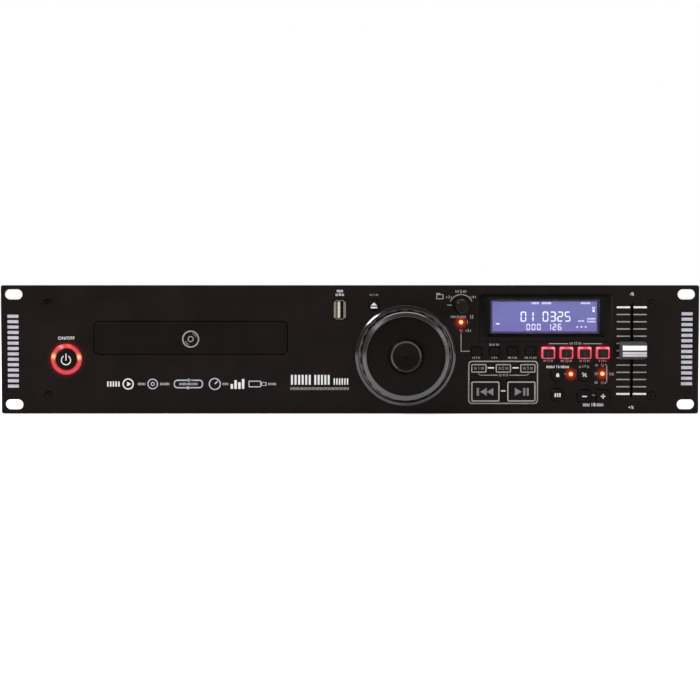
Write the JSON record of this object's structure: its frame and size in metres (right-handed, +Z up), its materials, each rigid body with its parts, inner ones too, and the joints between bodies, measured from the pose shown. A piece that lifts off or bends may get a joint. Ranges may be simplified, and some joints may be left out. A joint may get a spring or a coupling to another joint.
{
  "type": "rack mount disc player",
  "caption": "Two unit rack mount disc player with a loading tray, jog wheel, pitch fader, lit display, push buttons and rear sockets, with its loader inside.",
  "frame": {"origin": "centre of the four rack slots, on the rear face of the front panel", "axes": "+X to the right as seen from the front, +Y towards the rear, +Z up"},
  "size_m": [0.4826, 0.2612, 0.0888],
  "materials": {
    "panel_black": "black satin paint with a fine tooth",
    "case_black": "black textured powder coat",
    "screw_black": "black oxide",
    "button_black": "moulded, satin",
    "effect_red": "translucent red, lit from behind",
    "ring_red": "translucent red, lit from behind",
    "light_red": "clear red lens",
    "lens_black": "polished, smoked",
    "screen_blue": "lit liquid crystal panel in its frame",
    "socket_steel": "bright plated steel",
    "bezel_black": "semi-gloss",
    "grip_black": "soft satin",
    "jog_face": "fine matt grain",
    "shaft_steel": "ground",
    "knob_black": "satin, fluted",
    "bush_brass": "turned",
    "fader_steel": "stamped",
    "fader_white": "moulded, pale face with dark lines",
    "tray_black": "moulded, fine grain",
    "frame_black": "moulded",
    "gear_white": "natural acetal",
    "belt_rubber": "matt",
    "motor_steel": "plated",
    "board_green": "solder mask",
    "power_parts": "laminated core and wound coil on a board",
    "inlet_black": "moulded",
    "phono_nickel": "nickel plated"
  },
  "bodies": {
    "root": {"case_base": "case_black", "case_screws": "screw_black", "clamp_bridge": "motor_steel", "control_board": "board_green", "data_socket": "socket_steel", "display_lens": "lens_black", "display_module": "screen_blue", "drive_belt": "belt_rubber", "fader_body": "fader_steel", "front_panel": "panel_black", "indicator_lights": "light_red", "jog_housing": "bezel_black", "loader_frame": "frame_black", "loading_motor": "motor_steel", "main_board": "board_green", "mains_inlet": "inlet_black", "phono_sockets": "phono_nickel", "power_light_ring": "ring_red", "power_supply": "power_parts", "top_cover": "case_black", "track_encoder": "bush_brass"},
    "tray": {"disc_tray": "tray_black", "tray_door": "tray_black"},
    "loading_gear": {"loading_gear": "gear_white"},
    "pulley_gear": {"pulley_gear": "gear_white"},
    "motor_pulley": {"motor_pulley": "gear_white"},
    "cam_slider": {"cam_slider": "gear_white"},
    "traverse": {"traverse_deck": "motor_steel", "guide_rods": "shaft_steel", "spindle_motor": "motor_steel"},
    "turntable": {"turntable": "frame_black"},
    "pickup_sled": {"pickup_sled": "frame_black"},
    "clamp_puck": {"clamp_puck": "frame_black"},
    "jog": {"jog_grip_ring": "grip_black", "jog_plate": "jog_face", "jog_shaft": "shaft_steel"},
    "track_rotor": {"track_rotor": "bush_brass"},
    "track_knob": {"track_knob": "knob_black"},
    "fader": {"fader_cap": "fader_white", "fader_lever": "fader_steel"},
    "bend_down_button": {"bend_down_button": "button_black"},
    "bend_up_button": {"bend_up_button": "button_black"},
    "cue_button": {"cue_button": "button_black"},
    "effect_button_1": {"effect_button_1": "effect_red"},
    "effect_button_2": {"effect_button_2": "effect_red"},
    "effect_button_3": {"effect_button_3": "effect_red"},
    "effect_button_4": {"effect_button_4": "effect_red"},
    "eject_button": {"eject_button": "button_black"},
    "loop_in_button": {"loop_in_button": "button_black"},
    "loop_out_button": {"loop_out_button": "button_black"},
    "pitch_range_button": {"pitch_range_button": "button_black"},
    "play_button": {"play_button": "button_black"},
    "power_button": {"power_button": "button_black"},
    "program_button": {"program_button": "button_black"},
    "reloop_button": {"reloop_button": "button_black"},
    "single_button": {"single_button": "button_black"},
    "source_button": {"source_button": "button_black"},
    "tap_button": {"tap_button": "button_black"},
    "tempo_lock_button": {"tempo_lock_button": "button_black"},
    "time_button": {"time_button": "button_black"}
  },
  "joints": [
    {"name": "bend_down_push", "type": "slide", "parent": "root", "child": "bend_down_button", "axis": [0, 1, 0], "range_m": [0, 0.0006], "stiffness_N_per_m": 800},
    {"name": "bend_up_push", "type": "slide", "parent": "root", "child": "bend_up_button", "axis": [0, 1, 0], "range_m": [0, 0.0006], "stiffness_N_per_m": 800},
    {"name": "cue_push", "type": "slide", "parent": "root", "child": "cue_button", "axis": [0, 1, 0], "range_m": [0, 0.0006], "stiffness_N_per_m": 800},
    {"name": "effect_1_push", "type": "slide", "parent": "root", "child": "effect_button_1", "axis": [0, 1, 0], "range_m": [0, 0.0006], "stiffness_N_per_m": 800},
    {"name": "effect_2_push", "type": "slide", "parent": "root", "child": "effect_button_2", "axis": [0, 1, 0], "range_m": [0, 0.0006], "stiffness_N_per_m": 800},
    {"name": "effect_3_push", "type": "slide", "parent": "root", "child": "effect_button_3", "axis": [0, 1, 0], "range_m": [0, 0.0006], "stiffness_N_per_m": 800},
    {"name": "effect_4_push", "type": "slide", "parent": "root", "child": "effect_button_4", "axis": [0, 1, 0], "range_m": [0, 0.0006], "stiffness_N_per_m": 800},
    {"name": "eject_push", "type": "slide", "parent": "root", "child": "eject_button", "axis": [0, 1, 0], "range_m": [0, 0.0006], "stiffness_N_per_m": 800},
    {"name": "loop_in_push", "type": "slide", "parent": "root", "child": "loop_in_button", "axis": [0, 1, 0], "range_m": [0, 0.0006], "stiffness_N_per_m": 800},
    {"name": "loop_out_push", "type": "slide", "parent": "root", "child": "loop_out_button", "axis": [0, 1, 0], "range_m": [0, 0.0006], "stiffness_N_per_m": 800},
    {"name": "pitch_range_push", "type": "slide", "parent": "root", "child": "pitch_range_button", "axis": [0, 1, 0], "range_m": [0, 0.0006], "stiffness_N_per_m": 800},
    {"name": "play_push", "type": "slide", "parent": "root", "child": "play_button", "axis": [0, 1, 0], "range_m": [0, 0.0006], "stiffness_N_per_m": 800},
    {"name": "power_push", "type": "slide", "parent": "root", "child": "power_button", "axis": [0, 1, 0], "range_m": [0, 0.002], "stiffness_N_per_m": 800},
    {"name": "program_push", "type": "slide", "parent": "root", "child": "program_button", "axis": [0, 1, 0], "range_m": [0, 0.0006], "stiffness_N_per_m": 800},
    {"name": "reloop_push", "type": "slide", "parent": "root", "child": "reloop_button", "axis": [0, 1, 0], "range_m": [0, 0.0006], "stiffness_N_per_m": 800},
    {"name": "single_push", "type": "slide", "parent": "root", "child": "single_button", "axis": [0, 1, 0], "range_m": [0, 0.0006], "stiffness_N_per_m": 800},
    {"name": "source_push", "type": "slide", "parent": "root", "child": "source_button", "axis": [0, 1, 0], "range_m": [0, 0.0006], "stiffness_N_per_m": 800},
    {"name": "tap_push", "type": "slide", "parent": "root", "child": "tap_button", "axis": [0, 1, 0], "range_m": [0, 0.0006], "stiffness_N_per_m": 800},
    {"name": "tempo_lock_push", "type": "slide", "parent": "root", "child": "tempo_lock_button", "axis": [0, 1, 0], "range_m": [0, 0.0006], "stiffness_N_per_m": 800},
    {"name": "time_push", "type": "slide", "parent": "root", "child": "time_button", "axis": [0, 1, 0], "range_m": [0, 0.0006], "stiffness_N_per_m": 800},
    {"name": "jog_turn", "type": "hinge", "parent": "root", "child": "jog", "pos_m": [0.0384, 0, -0.0042], "axis": [0, -1, 0], "continuous": true},
    {"name": "track_turn", "type": "hinge", "parent": "root", "child": "track_rotor", "pos_m": [0.0768, 0, 0.0298], "axis": [0, -1, 0], "continuous": true},
    {"name": "track_push", "type": "slide", "parent": "track_rotor", "child": "track_knob", "axis": [0, 1, 0], "range_m": [0, 0.0005], "stiffness_N_per_m": 800},
    {"name": "fader_slide", "type": "slide", "parent": "root", "child": "fader", "axis": [0, 0, 1], "range_m": [-0.03, 0.03]},
    {"name": "tray_slide", "type": "slide", "parent": "root", "child": "tray", "axis": [0, -1, 0], "range_m": [0, 0.136]},
    {"name": "loading_gear_turn", "type": "hinge", "parent": "root", "child": "loading_gear", "pos_m": [-0.0722, 0.016, 0], "axis": [0, 0, 1], "range_deg": [-653, 3]},
    {"name": "pulley_gear_turn", "type": "hinge", "parent": "root", "child": "pulley_gear", "pos_m": [-0.0917, 0.016, 0], "axis": [0, 0, 1], "range_deg": [-3, 1042]},
    {"name": "motor_pulley_turn", "type": "hinge", "parent": "root", "child": "motor_pulley", "pos_m": [-0.1322, 0.016, 0], "axis": [0, 0, 1], "range_deg": [-3, 3120]},
    {"name": "traverse_lift", "type": "hinge", "parent": "root", "child": "traverse", "pos_m": [-0.1102, 0.165, -0.003], "axis": [-1, 0, 0], "range_deg": [0, 6.27]},
    {"name": "cam_slide", "type": "slide", "parent": "root", "child": "cam_slider", "axis": [1, 0, 0], "range_m": [-0.0002, 0.0182]},
    {"name": "turntable_turn", "type": "hinge", "parent": "traverse", "child": "turntable", "pos_m": [-0.1102, 0.06717, -0.00078], "axis": [0, -0.1093, 0.994], "continuous": true},
    {"name": "sled_slide", "type": "slide", "parent": "traverse", "child": "pickup_sled", "axis": [0, 0.994, 0.1093], "range_m": [0, 0.035]},
    {"name": "clamp_puck_turn", "type": "hinge", "parent": "root", "child": "clamp_puck", "pos_m": [-0.1102, 0.068, 0.014], "axis": [0, 0, 1], "continuous": true}
  ],
  "couplings": [
    {"joint": "loading_gear_turn", "follows": "tray_slide", "rad_per_m": -83.333},
    {"joint": "pulley_gear_turn", "follows": "tray_slide", "rad_per_m": 133.33},
    {"joint": "motor_pulley_turn", "follows": "tray_slide", "rad_per_m": 400},
    {"joint": "cam_slide", "follows": "traverse_lift", "m_per_rad": 0.16439},
    {"joint": "clamp_puck_turn", "follows": "turntable_turn", "ratio": 1}
  ]
}
